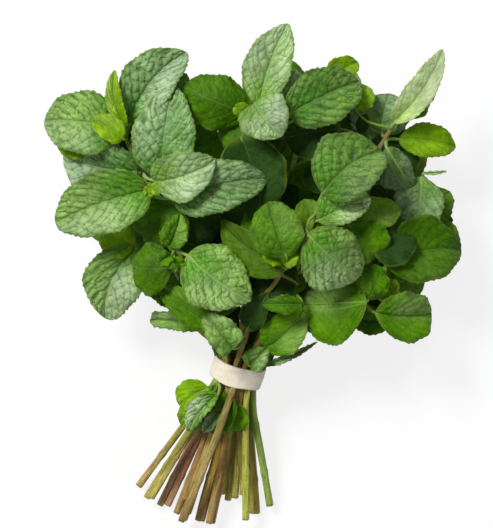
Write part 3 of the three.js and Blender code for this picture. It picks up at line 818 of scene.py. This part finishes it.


# Small leaves at the joints and shoot tips: the stem, the share of the way along it, the foot of the
# blade from there, the reach of the blade, its width, arch and fold, and its look.
# The darkest look is painted shade for leaves that lie under others.
SIDE_LEAVES = [
    (2, 0.99, (-1, -1, 6), (-14, 9, -2), 13, 0.1, 30, "young"),
    (2, 1, (-13, -4, -3), (-19, 2, -4), 16, 0.05, 10, "bright"),
    (8, 0.8, (-4, 2, -8), (-6, 17, -6), 20, 0.06, 8, "shaded_dark"),
    (12, 0.88, (-4, 0, -6), (2, 18, -5), 18, 0.06, 8, "shaded_dark"),
    (13, 0.66, (-3, -3, 6), (-5, 16, 2), 18, 0.06, 8, "shaded_dark"),
    (2, 0.81, (6, 3, 0), (-10, -19, -5), 28, 0.08, 10, "deep"),
    (2, 0.78, (10, 5, 0), (12, -15, -6), 22, 0.05, 8, "shaded_dark"),
    (1, 0.98, (0, -1, 4), (-17, 5, -4), 17, 0.08, 12, "bright"),
    (7, 0.94, (-7, 1, 2), (10, -38, -3), 30, 0.04, 6, "shaded_dark"),
    (8, 0.94, (-17, 9, 7), (-26, -4, -6), 28, 0.08, 8, "shaded_dark"),
    (7, 0.97, (18, 1, -1), (-3, 23, -2), 18, 0.06, 14, "blue"),
    (7, 1, (31, 12, -8), (15, 10, -2), 13, 0.12, 18, "bright"),
    (8, 0.99, (-16, 9, 0), (6, 11, -2), 14, 0.1, 12, "bright"),
    (8, 0.97, (-2, 1, -6), (4, 19, -2), 22, 0.08, 10, "grey"),
    (9, 0.87, (2, -1, -1), (-4, 17, 0), 18, 0.08, 14, "olive"),
    (10, 1, (-8, 4, 6), (20, 10, -6), 26, 0.08, 8, "shaded_dark"),
    (10, 0.91, (1, -1, -4), (11, 1, -4), 12, 0.1, 14, "bright"),
    (10, 0.99, (1, 1, -7), (0, -12, -4), 14, 0.1, 10, "deep"),
    (5, 0.94, (8, -5, -8), (-20, 3, -4), 26, 0.08, 8, "shaded_dark"),
    (9, 0.71, (6, -7, 11), (-18, 0, 1), 9, 0.06, 14, "deep"),
    (9, 0.47, (1, -2, 6), (8, 8, 5), 12, 0.1, 24, "quilted"),
    (10, 0.5, (2, -3, 4), (24, 11, 5), 4, 0.04, 30, "grey"),
    (13, 0.57, (-2, -1, 1), (-4, 12, 2), 12, 0.08, 10, "shaded_dark"),
    (4, 0.39, (-1, 0, 3), (-12, -12, -2), 15, 0.1, 12, "bright"),
    (9, 0.35, (-1, 0, 1), (0, -16, -4), 15, 0.1, 12, "smooth"),
    (5, 0.41, (0, -2, 7), (-9, -11, -2), 8, 0.06, 34, "grey"),
    (4, 1, (-1, -2, 6), (-6, -4, -1), 8, 0.12, 34, "smooth"),
    (4, 0.99, (0, -2, 6), (3, -5, -2), 8, 0.12, 34, "smooth"),
    (5, 1, (-3, -1, 6), (-9, 4, 0), 9, 0.1, 36, "bright"),
    (5, 1, (-2, -2, 6), (6, 5, 1), 9, 0.1, 30, "bright"),
    (7, 1, (-3, 1, 4), (-5, -6, -2), 12, 0.14, 20, "bright"),
    (2, 0.87, (2, -1, 9), (4, -4, 3), 6, 0.1, 30, "young"),
    (2, 0.87, (2, -1, 9), (-2, -5, -1), 6, 0.1, 30, "young"),
    (7, 0.97, (-4, 0, -5), (-15, -2, -5), 26, 0.1, 10, "deep"),
    (9, 0.93, (16, -5, -3), (12, -16, -6), 22, 0.1, 12, "smooth"),
    (13, 0.9, (-1, -3, 0), (14, -16, 0), 24, 0.08, 10, "deep"),
    (13, 0.95, (-3, 0, 0), (-20, 8, -1), 24, 0.08, 10, "shaded_dark"),
    (12, 0.91, (6, -5, -4), (19, -17, -4), 24, 0.08, 12, "olive"),
    (5, 0.68, (0, 1, 4), (9, 16, 14), 12, 0.05, 8, "shaded_dark"),
    (2, 0.5, (-1, 1, -1), (13, 7, -4), 12, 0.06, 8, "shaded_dark"),
    (6, 0.96, (4, 2, 1), (-15, -8, 7), 21, 0.08, 10, "deep"),
    (6, 0.76, (1, -2, 3), (12, 6, 12), 19, 0.08, 10, "shaded_dark"),
    (13, 0.81, (-4, -5, 3), (10, 9, 10), 20, 0.08, 10, "shaded_dark"),
    (6, 0.93, (4, 1, 0), (16, 4, 2), 22, 0.08, 10, "deep"),
    (6, 0.8, (-1, 0, 4), (2, -16, -2), 18, 0.08, 10, "shaded_dark"),
    (13, 0.39, (1, 1, 0), (3, 15, 3), 13, 0.08, 12, "shaded_dark"),
    (6, 0.42, (0, 1, 2), (-2, 16, 4), 12, 0.08, 12, "shaded_dark"),
    (3, 0.45, (1, 1, 1), (-6, 15, 4), 12, 0.08, 12, "deep"),
    (11, 0.42, (1, 1, 2), (8, 15, 3), 13, 0.08, 14, "deep"),
    (12, 1, (-1, 3, 3), (11, 1, 0), 2, 0.05, 30, "pale"),
    (10, 0.9, (8, -14, -18), (-18, 1, -3), 14, 0.08, 12, "deep"),
    (8, 0.94, (-8, 6, -4), (-8, 14, -2), 16, 0.08, 10, "shaded_dark"),
    (10, 0.87, (8, 0, -18), (-7, -16, -3), 17, 0.08, 10, "shaded_dark"),
    (2, 0.95, (1, -1, -6), (-3, 17, -2), 14, 0.08, 10, "shaded_dark"),
    (6, 0.98, (3, 8, 4), (4, 12, 2), 15, 0.08, 10, "deep"),
]


def side_blade(lines, row):
    """The measures of one of the side leaves."""
    stem, place, offset, reach, width, arch, fold, _ = row
    line = lines[stem]
    point = line[round(place * (len(line) - 1))]
    foot = point + np.array(offset, float)
    return grown_blade(point, foot, np.array(reach, float), width, arch, fold, UP)


def rough_tree(blade, spread=0.35, margin=0.5):
    """A coarse copy of a blade for finding leaves that touch."""
    rows, columns = 10, 6
    form = dict(leaf_form("deep", 0), teeth=0, ruffle=0, twist=0, uneven=0, sway=0)
    points = blade_grid(blade, form, rows, columns)[0].reshape(-1, 3)
    index = np.arange(len(points)).reshape(rows + 1, columns + 1)
    tree = BVHTree.FromPolygons(points.tolist(), grid_quads(index), epsilon=spread)
    return {"tree": tree, "low": points.min(0) - margin, "high": points.max(0) + margin, "points": points}


def touches(rough, others):
    """Whether a coarse blade touches any of the others."""
    for other in others:
        if (rough["low"] < other["high"]).all() and (other["low"] < rough["high"]).all():
            if rough["tree"].overlap(other["tree"]):
                return True
    return False


def spread_over(mask, reach):
    """A mask grown by a disc."""
    grown = mask.copy()
    for dx in range(-reach, reach + 1):
        for dy in range(-reach, reach + 1):
            if dx * dx + dy * dy <= reach * reach:
                grown |= np.roll(mask, (dx, dy), (0, 1))
    return grown


def surroundings(mask):
    """What lies round a mask, without the holes that it encloses."""
    reached = np.zeros_like(mask)
    reached[0, 0] = True
    grown = spread_over(reached, 1) & ~mask
    while (grown != reached).any():
        reached, grown = grown, spread_over(grown, 1) & ~mask
    return reached


def plain_points(blade, rows, columns):
    """Points all over a blade."""
    return blade_grid(blade, leaf_form("deep", 0), rows, columns)[0].reshape(-1, 3)


class Canopy:
    """The height of the uppermost leaf over each cell of the floor, and the room there is below it."""

    CELL = 1.5
    MARGIN = 20
    CLOSING = 4  # cells: gaps up to twice as wide are filled by leaves further down
    UNDER_LEAF = 1.5  # the least drop from a leaf to what is below it
    UNDER_GAP = 7  # the least drop from the leaves round a gap to what fills it
    OFF_FLOOR = 1.0

    def __init__(self, blades):
        self.origin = LOW[:2] - self.MARGIN
        count = np.ceil((HIGH[:2] - LOW[:2] + 2 * self.MARGIN) / self.CELL).astype(int)
        self.last = count - 1
        top = np.full(count, -1.0)
        for blade in blades:
            points = plain_points(blade, 48, 32)
            i, j = self.place(points)
            np.maximum.at(top, (i, j), points[:, 2])
        covered = top > 0
        inside = ~surroundings(~spread_over(~spread_over(covered, self.CLOSING), self.CLOSING))
        clear_of_band = LOW[1] - self.MARGIN + np.arange(count[1]) * self.CELL > BAND_TOP + BARE_NECK
        inside &= clear_of_band[None, :]
        below_gap = self.height_around(top, covered) - self.UNDER_GAP
        self.room = np.where(covered, top - self.UNDER_LEAF, np.where(inside, below_gap, -1))
        self.inside, self.covered = inside, covered
        self.open = self.gaps()

    def height_around(self, top, covered, passes=14, share=0.6):
        """The height of the leaves nearby, carried on over the cells that have none."""
        weight, height = covered.astype(float), np.where(covered, top, 0)
        for _ in range(passes):
            weight = weight + sum(np.roll(weight, k, a) for k in (-1, 1) for a in (0, 1)) * share
            height = height + sum(np.roll(height, k, a) for k in (-1, 1) for a in (0, 1)) * share
            height, weight = height / weight.max(), weight / weight.max()
        return height / np.maximum(weight, 1e-9)

    def gaps(self):
        return self.inside & ~self.covered

    def cover(self, blade):
        shade = self.shade(blade)
        self.open &= ~shade
        self.covered |= shade

    def place(self, points):
        """The cells that points are over."""
        cell = ((points[:, :2] - self.origin) / self.CELL).astype(int)
        cell = np.clip(cell, 0, self.last)
        return cell[:, 0], cell[:, 1]

    def shade(self, blade):
        """The open cells that a blade would cover."""
        i, j = self.place(plain_points(blade, 30, 20))
        hit = np.zeros(self.open.shape, bool)
        hit[i, j] = True
        return hit & self.open

    def widest_gap(self):
        """The middle of the widest gap that is left, or nothing."""
        gap, middle = self.open, None
        while gap.any():
            middle = np.argwhere(gap)[len(np.argwhere(gap)) // 2]
            gap = ~spread_over(~gap, 1)
        return middle

    def holds(self, points):
        """Whether there is room for a blade with these points."""
        i, j = self.place(points)
        return bool((points[:, 2] < self.room[i, j]).all() and points[:, 2].min() > self.OFF_FLOOR)


def inner_ways(line, rng):
    """The leaves that could grow on one stem, each as a list of ways to grow, best first."""
    run = run_along(line)
    above = run[np.argmax(line[:, 1] > BAND_TOP)] + LEAFLESS
    side, up = sides_along(line, [1, 0, 0.2])
    for pair, place in enumerate(np.arange(above, run[-1] - 2, INNER_PITCH)):
        k = int(np.searchsorted(run, place))
        tangent = unit(line[min(k + 1, len(line) - 1)] - line[k - 1])
        for half_turn in (0, 180):
            ways = []
            for attempt in range(WAYS_TO_GROW):
                turn = math.radians(90 * pair + half_turn + rng.uniform(-12, 12) * (1 + attempt))
                lean = math.radians(rng.uniform(45, 75))
                outward = math.cos(turn) * side[k] + math.sin(turn) * up[k]
                ahead = unit(math.cos(lean) * tangent + math.sin(lean) * outward)
                length = rng.uniform(26, 38) * (1 - 0.04 * attempt)
                level = unit(0.35 * tangent + UP + 0.25 * rng.normal(size=3))
                foot = line[k] + ahead * rng.uniform(3.5, 6)
                ways.append(grown_blade(line[k], foot, ahead * length, length * rng.uniform(0.56, 0.68),
                                        rng.uniform(0.04, 0.14), rng.uniform(4, 18), level))
            yield ways


def gap_ways(lines, target, rng):
    """Ways to reach over one place on the floor with a leaf from one of the stems near it."""
    apart = {stem: np.linalg.norm(line[:, :2] - target, axis=1) for stem, line in lines.items()}
    nearest = {stem: int(np.argmin(distances)) for stem, distances in apart.items()}
    order = sorted(lines, key=lambda stem: np.linalg.norm(lines[stem][nearest[stem], :2] - target))
    for attempt in range(WAYS_TO_FILL):
        stem = order[attempt % STEMS_NEARBY]
        line = lines[stem]
        k = max(nearest[stem] - int(rng.integers(0, 10)), 1)
        toward = np.append(target - line[k, :2], 0)
        distance = np.linalg.norm(toward)
        tangent = unit(line[k] - line[k - 1])
        ahead = unit(toward) if distance > 5 else unit(tangent * [1, 1, 0])
        sway = rng.normal(size=3) * [0.25, 0.25, 0]
        ahead = unit(unit(ahead + sway) + UP * rng.uniform(-0.3, 0.35))
        length = float(np.clip(distance * 1.3 + rng.uniform(4, 12), 20, 38))
        level = unit(UP + 0.2 * rng.normal(size=3))
        foot = line[k] + ahead * rng.uniform(3.5, 7)
        yield stem, grown_blade(line[k], foot, ahead * length, length * rng.uniform(0.58, 0.72),
                                rng.uniform(0.03, 0.12), rng.uniform(4, 14), level)


def inner_leaves(lines, blades):
    """Leaves deep in the bunch: pairs along every stem where they fit, and then one for each gap left."""
    canopy = Canopy(blades)
    taken = [rough_tree(blade) for blade in blades]
    grown = {stem: [] for stem in lines}

    def grow(stem, blade, rough):
        taken.append(rough)
        grown[stem].append(blade)
        canopy.cover(blade)

    for stem, line in lines.items():
        for ways in inner_ways(line, np.random.default_rng(STEM_SEED + stem)):
            for blade in ways:
                rough = rough_tree(blade)
                if canopy.holds(rough["points"]) and not touches(rough, taken):
                    grow(stem, blade, rough)
                    break
    rng = np.random.default_rng(GAP_SEED)
    outer = taken[:len(blades)]
    filled, crowded = 0, False
    for _ in range(GAP_TRIES):
        cell = canopy.widest_gap()
        if not crowded and (filled == CROWDED_FROM or cell is None):
            crowded, taken = True, list(outer)
            canopy.open = canopy.gaps()
            cell = canopy.widest_gap()
        if cell is None or filled == MOST_GAP_LEAVES:
            break
        target = canopy.origin + (cell + 0.5) * canopy.CELL
        best, gain = None, 0
        for stem, blade in gap_ways(lines, target, rng):
            rough = rough_tree(blade, 0.0)
            if canopy.holds(rough["points"]) and not touches(rough, taken):
                shaded = canopy.shade(blade).sum()
                if shaded > gain:
                    best, gain = (stem, blade, rough), shaded
        if best:
            grow(*best)
            filled += 1
        canopy.open[max(cell[0] - 1, 0):cell[0] + 2, max(cell[1] - 1, 0):cell[1] + 2] = False
    return grown


# ---------------------------------------------------------------- materials

class Graph:
    """A node material, and short calls that add nodes to it."""

    def __init__(self, name):
        self.material = bpy.data.materials.new(name)
        self.material.use_nodes = True
        self.nodes = self.material.node_tree.nodes
        self.links = self.material.node_tree.links
        self.nodes.clear()

    def add(self, kind, inputs=(), **settings):
        node = self.nodes.new("ShaderNode" + kind)
        for key, value in settings.items():
            setattr(node, key, value)
        for key, value in dict(inputs).items():
            if isinstance(value, bpy.types.NodeSocket):
                self.links.new(value, node.inputs[key])
            else:
                node.inputs[key].default_value = value
        return node

    def attribute(self, name):
        return self.add("Attribute", attribute_name=name)

    def math(self, operation, a, b=0.0):
        return self.add("Math", {0: a, 1: b}, operation=operation).outputs[0]

    def ramp(self, value, start, end, low=0.0, high=1.0):
        inputs = {"Value": value, "From Min": start, "From Max": end, "To Min": low, "To Max": high}
        return self.add("MapRange", inputs, interpolation_type="SMOOTHSTEP").outputs[0]

    def mix(self, amount, a, b, how="MIX"):
        node = self.add("Mix", {0: amount, 6: a, 7: b}, data_type="RGBA", blend_type=how)
        return node.outputs[2]

    def noise(self, place, scale, detail=2.0):
        inputs = {"Vector": place, "Scale": scale, "Detail": detail}
        return self.add("TexNoise", inputs).outputs["Fac"]

    def scaled(self, place, factors):
        return self.add("VectorMath", {0: place, 1: factors}, operation="MULTIPLY").outputs[0]

    def bump(self, height, distance, strength=1.0):
        inputs = {"Height": height, "Distance": distance, "Strength": strength}
        return self.add("Bump", inputs).outputs["Normal"]

    def finish(self, shader):
        self.add("OutputMaterial", {"Surface": shader})
        return self.material


def leaf_material(name, roughness, shine, sheen, glow, warmth=0.5):
    """Leaf skin: its tint, fine vein lines, mottling and a soft shine. Some light passes through."""
    g = Graph(name)
    tint, vein, spot = g.attribute("tint"), g.attribute("vein"), g.attribute("spot")
    ribs = g.add("SeparateXYZ", {0: g.attribute("ribs").outputs["Vector"]})
    to_rib = g.math("PINGPONG", ribs.outputs[0], 0.5)
    to_midrib = g.math("ABSOLUTE", ribs.outputs[1])
    side_vein = g.ramp(to_rib, 0.015, 0.07, 0.9, 0)
    cross_vein = g.ramp(ribs.outputs[2], 0.04, 0.3, 0.7, 0)
    midrib = g.ramp(to_midrib, 0.1, 0.4, 0.9, 0)
    net = g.add("TexVoronoi", {"Vector": spot.outputs["Vector"], "Scale": 0.62},
                feature="DISTANCE_TO_EDGE").outputs["Distance"]
    fine = g.ramp(net, 0.0, 0.14, 0.3, 0)
    lines = g.math("MAXIMUM", g.math("MAXIMUM", side_vein, midrib), g.math("MAXIMUM", cross_vein, fine))
    mottle = g.ramp(g.noise(spot.outputs["Vector"], 0.22, 3), 0.3, 0.7, 0.82, 1.12)
    skin = g.mix(1.0, tint.outputs["Color"], mottle, "MULTIPLY")
    # Vein lines take the vein colour: where it is dark, it is painted shade in the sunken veins.
    colour = g.mix(g.math("MULTIPLY", lines, vein.outputs["Alpha"]), skin, vein.outputs["Color"])
    grain = g.noise(spot.outputs["Vector"], 2.4, 3)
    height = g.math("SUBTRACT", g.math("MULTIPLY", grain, 0.45), lines)
    shader = g.add("BsdfPrincipled", {
        "Base Color": colour, "Roughness": roughness, "Specular IOR Level": shine, "Sheen Weight": sheen,
        "Sheen Roughness": 0.5, "Sheen Tint": (0.8, 1.0, 0.7, 1), "Normal": g.bump(height, 0.0003, 0.6)})
    through = g.add("BsdfTranslucent", {"Color": g.mix(warmth, colour, (0.5, 0.75, 0.02, 1))})
    both = g.add("MixShader", {0: glow, 1: shader.outputs[0], 2: through.outputs[0]})
    return g.finish(both.outputs[0])


def stem_material():
    """Stem skin: its colour along the stem, with fibres along it, specks and a dull shine."""
    g = Graph("mint_stem")
    tint = g.attribute("tint").outputs["Color"]
    fibre = g.attribute("fibre").outputs["Vector"]
    streaks = g.noise(g.scaled(fibre, (1.6, 0.12, 1.0)), 1.0, 4)
    specks = g.noise(fibre, 0.9, 3)
    shade = g.math("MULTIPLY", g.ramp(streaks, 0.3, 0.7, 0.6, 1.35), g.ramp(specks, 0.3, 0.7, 0.85, 1.1))
    colour = g.mix(1.0, tint, shade, "MULTIPLY")
    shader = g.add("BsdfPrincipled", {
        "Base Color": colour, "Roughness": g.ramp(specks, 0.2, 0.8, 0.38, 0.6), "Specular IOR Level": 0.45,
        "Normal": g.bump(streaks, 0.0005, 0.8)})
    return g.finish(shader.outputs[0])


def band_material():
    """Cream elastic tape: fine threads across it, a soft mottled colour and no shine."""
    g = Graph("cream_band")
    tint = g.attribute("tint").outputs["Color"]
    weave = g.attribute("weave").outputs["Vector"]
    threads = g.noise(g.scaled(weave, (0.35, 3.2, 1.0)), 1.0, 3)
    soft = g.noise(weave, 0.5, 3)
    shade = g.math("MULTIPLY", g.ramp(threads, 0.3, 0.7, 0.93, 1.03), g.ramp(soft, 0.3, 0.7, 0.92, 1.04))
    colour = g.mix(1.0, tint, shade, "MULTIPLY")
    shader = g.add("BsdfPrincipled", {
        "Base Color": colour, "Roughness": 0.8, "Specular IOR Level": 0.25, "Sheen Weight": 0.1,
        "Normal": g.bump(threads, 0.0002, 0.6)})
    return g.finish(shader.outputs[0])


def floor_material():
    """A pale floor that the camera sees as white, with the shadow of the object on it."""
    g = Graph("pale_floor")
    rays = g.add("LightPath").outputs
    seen = g.math("MAXIMUM", g.math("MAXIMUM", rays["Is Camera Ray"], rays["Is Glossy Ray"]),
                  rays["Is Transmission Ray"])
    grain = g.noise(g.add("TexCoord").outputs["Object"], 900.0, 2)
    pale = g.ramp(grain, 0.3, 0.7, 0.79, 0.81)
    lit = g.add("BsdfDiffuse", {"Color": g.mix(seen, pale, (1, 1, 1, 1))})
    white = g.add("Emission", {"Color": (1, 1, 1, 1), "Strength": 1.0})
    share = g.math("MULTIPLY", seen, FLOOR_WHITENESS)
    both = g.add("MixShader", {0: share, 1: lit.outputs[0], 2: white.outputs[0]})
    return g.finish(both.outputs[0])


# ---------------------------------------------------------------- the room

def add_camera():
    camera = put_in_scene("camera", bpy.data.cameras.new("camera"))
    camera.data.lens = CAMERA_LENS
    camera.data.clip_end = CAMERA_SIGHT
    camera.location = Vector((MIDDLE[0] + CAMERA_AIM[0], MIDDLE[1] + CAMERA_AIM[1], CAMERA_HEIGHT)) * MM
    bpy.context.scene.camera = camera


def add_floor():
    mesh = bpy.data.meshes.new("floor")
    corners = [(x * FLOOR_REACH, y * FLOOR_REACH, 0) for x, y in ((-1, -1), (1, -1), (1, 1), (-1, 1))]
    mesh.from_pydata(corners, [], [(0, 1, 2, 3)])
    mesh.materials.append(floor_material())
    floor = put_in_scene("floor", mesh)


def add_lights():
    world = bpy.data.worlds.new("room")
    world.use_nodes = True
    background = world.node_tree.nodes["Background"]
    background.inputs["Color"].default_value = (1, 1, 1, 1)
    background.inputs["Strength"].default_value = WORLD_LEVEL
    bpy.context.scene.world = world
    key = put_in_scene("key_light", bpy.data.lights.new("key_light", "AREA"))
    key.data.size = KEY_SIZE
    key.data.energy = KEY_POWER
    key.location = KEY_PLACE
    key.rotation_euler = (-key.location).to_track_quat("-Z", "Y").to_euler()
    bpy.context.scene.view_settings.view_transform = "Standard"


# ---------------------------------------------------------------- putting it together

WAXY_LEAF = leaf_material("waxy_mint_leaf", 0.52, 0.42, 0.11, 0.1)
GREEN_LEAF = leaf_material("green_mint_leaf", 0.45, 0.08, 0.0, 0.14)
FRESH_LEAF = leaf_material("fresh_mint_leaf", 0.42, 0.1, 0.0, 0.3)
SHEER_LEAF = leaf_material("sheer_mint_leaf", 0.5, 0.2, 0.0, 0.12, 0.08)


def skin_of(look):
    if look == "backlit":
        return SHEER_LEAF
    return WAXY_LEAF if look in WAXY else FRESH_LEAF if look in FRESH else GREEN_LEAF


def make_stems():
    """The stems, and the centre line of each by its number."""
    skin = stem_material()
    names = sorted(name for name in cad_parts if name.startswith("stem"))
    stems = {int(name[-2:]): read_stem(name) for name in names}
    lines = {stem: smooth_line(centre, LINE_POINTS) for stem, (centre, _) in stems.items()}
    for name, (stem, (centre, radii)) in zip(names, stems.items()):
        part = stem_part(centre, radii, STEM_COLOURS[stem], stem)
        make_piece("mint_" + name, part, skin, [name])
    for order, row in enumerate(SHORT_STEMS, 1):
        stem = row[0]
        _, radii = stems[stem]
        path = short_stem_path(lines, row)
        part = stem_part(path, radii[:2], STEM_COLOURS[stem], SHORT_STEM_SEED + order)
        make_piece(f"short_stem_{order}", part, skin)
    return lines


def make_cad_leaves():
    """The leaves that stand for CAD nodes, and the blade of each."""
    nodes = sorted(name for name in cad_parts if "leaf" in name)
    blades = [fitted(read_leaf(node), node) for node in nodes]
    for seed, (node, blade) in enumerate(zip(nodes, blades), 1):
        look, fold, light, painted_sheen_share = LEAF_LOOKS.get(node, PLAIN_LEAF)
        detail = FINE if LOOKS[look]["quilt"] > 0.5 else MEDIUM
        part = whole_leaf(blade, look, seed, detail, fold, light, painted_sheen_share)
        make_piece("mint_" + node, part, skin_of(look), [node])
    return blades


def make_leaf_group(name, rows):
    """One piece for each kind of skin from rows of blade, look, seed and detail."""
    for skin in (WAXY_LEAF, GREEN_LEAF, FRESH_LEAF):
        parts = [whole_leaf(*row) for row in rows if skin_of(row[1]) == skin]
        if parts:
            make_piece(name + "_" + skin.name.split("_")[0], join(parts), skin)


def make_side_leaves(lines):
    """The small leaves at the joints and shoot tips, and the blade of each."""
    blades = [side_blade(lines, row) for row in SIDE_LEAVES]
    for stem in lines:
        rows = [(blade, row[-1], SIDE_SEED + k, SMALL)
                for k, (blade, row) in enumerate(zip(blades, SIDE_LEAVES)) if row[0] == stem]
        make_leaf_group(f"side_leaves_{stem:02}", [row for row in rows if row[1] != "young"])
        make_leaf_group(f"shoot_tip_{stem:02}", [row for row in rows if row[1] == "young"])
    return blades


def make_inner_leaves(lines, outer_blades):
    """The leaves deep in the bunch."""
    order = 0
    for stem, blades in inner_leaves(lines, outer_blades).items():
        rows = []
        for blade in blades:
            order += 1
            rows.append((blade, INNER_LOOKS[order % len(INNER_LOOKS)], INNER_SEED + order, COARSE))
        make_leaf_group(f"inner_leaves_{stem:02}", rows)


add_camera()
add_floor()
add_lights()

stem_lines = make_stems()
make_piece("cream_band", band_part(), band_material(), ["band"])
cad_blades = make_cad_leaves()
side_blades = make_side_leaves(stem_lines)
make_inner_leaves(stem_lines, cad_blades + side_blades)
